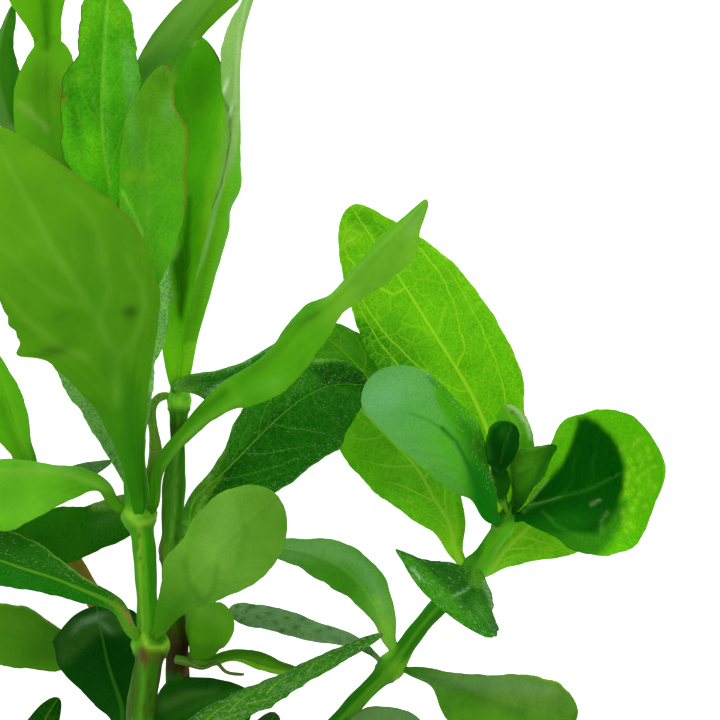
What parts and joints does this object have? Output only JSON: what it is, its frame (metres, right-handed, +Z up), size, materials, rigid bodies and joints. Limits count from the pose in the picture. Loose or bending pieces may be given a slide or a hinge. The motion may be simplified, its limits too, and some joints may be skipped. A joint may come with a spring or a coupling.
{
  "type": "aquarium plant",
  "caption": "Cut shoot of dwarf hygrophila: ribbed branching stems with oval green leaves in opposite pairs, lying down.",
  "frame": {"origin": "on the surface it lies on, under the middle of the plant's bounding box", "axes": "+Z up from the surface, +Y from the cut foot to the tips of the shoots, +X to the side of the young right shoot"},
  "size_m": [0.0934, 0.1219, 0.0385],
  "materials": {
    "leaf_bright": "fresh yellow-green leaf, thin and slightly glossy, paler raised veins",
    "leaf_dark": "dark green leaf, fine pale hairs",
    "leaf_grey": "grey-green leaf with a matt bloom",
    "stem_green": "ribbed green stem with pale joints, satin",
    "stem_brown": "old green-brown stem, satin"
  },
  "bodies": {
    "root": {"bud_back_leaf": "leaf_bright", "bud_dark_leaf": "leaf_dark", "bud_front_leaf": "leaf_bright", "bud_left_leaf": "leaf_bright", "dry_stalk": "stem_brown", "front_stem": "stem_green", "front_stem_base_left_leaf": "leaf_dark", "front_stem_base_right_leaf": "leaf_dark", "front_stem_far_leaf": "leaf_dark", "front_stem_left_leaf": "leaf_bright", "front_stem_low_left_leaf": "leaf_dark", "front_stem_low_right_leaf": "leaf_bright", "front_stem_near_leaf": "leaf_bright", "front_stem_right_leaf": "leaf_bright", "front_stem_top_back_leaf": "leaf_grey", "front_stem_top_left_leaf": "leaf_bright", "front_stem_top_right_leaf": "leaf_bright", "left_stem": "stem_brown", "left_stem_end_leaf": "leaf_bright", "left_stem_low_leaf": "leaf_bright", "left_stem_upper_leaf": "leaf_grey", "main_stem": "stem_brown", "main_stem_base_far_leaf": "leaf_grey", "main_stem_base_left_leaf": "leaf_dark", "main_stem_base_right_leaf": "leaf_dark", "main_stem_low_narrow_leaf": "leaf_bright", "main_stem_low_right_leaf": "leaf_bright", "main_stem_mid_left_leaf": "leaf_dark", "main_stem_mid_right_leaf": "leaf_dark", "main_stem_right_leaf": "leaf_dark", "main_stem_top_folded_leaf": "leaf_grey", "main_stem_top_leaf": "leaf_bright", "right_stem": "stem_green", "right_stem_base_leaf": "leaf_grey", "right_stem_low_left_leaf": "leaf_grey", "right_stem_low_right_leaf": "leaf_bright", "right_stem_low_up_leaf": "leaf_grey", "right_stem_mid_far_leaf": "leaf_bright", "right_stem_mid_left_leaf": "leaf_bright", "right_stem_mid_near_leaf": "leaf_dark", "right_stem_mid_right_leaf": "leaf_bright", "right_stem_mid_under_leaf": "leaf_bright", "right_stem_top_left_leaf": "leaf_grey", "right_stem_top_right_leaf": "leaf_dark", "side_shoot": "stem_green", "side_shoot_end_leaf": "leaf_bright", "side_shoot_left_leaf": "leaf_grey", "side_shoot_near_leaf": "leaf_bright"}
  },
  "joints": []
}
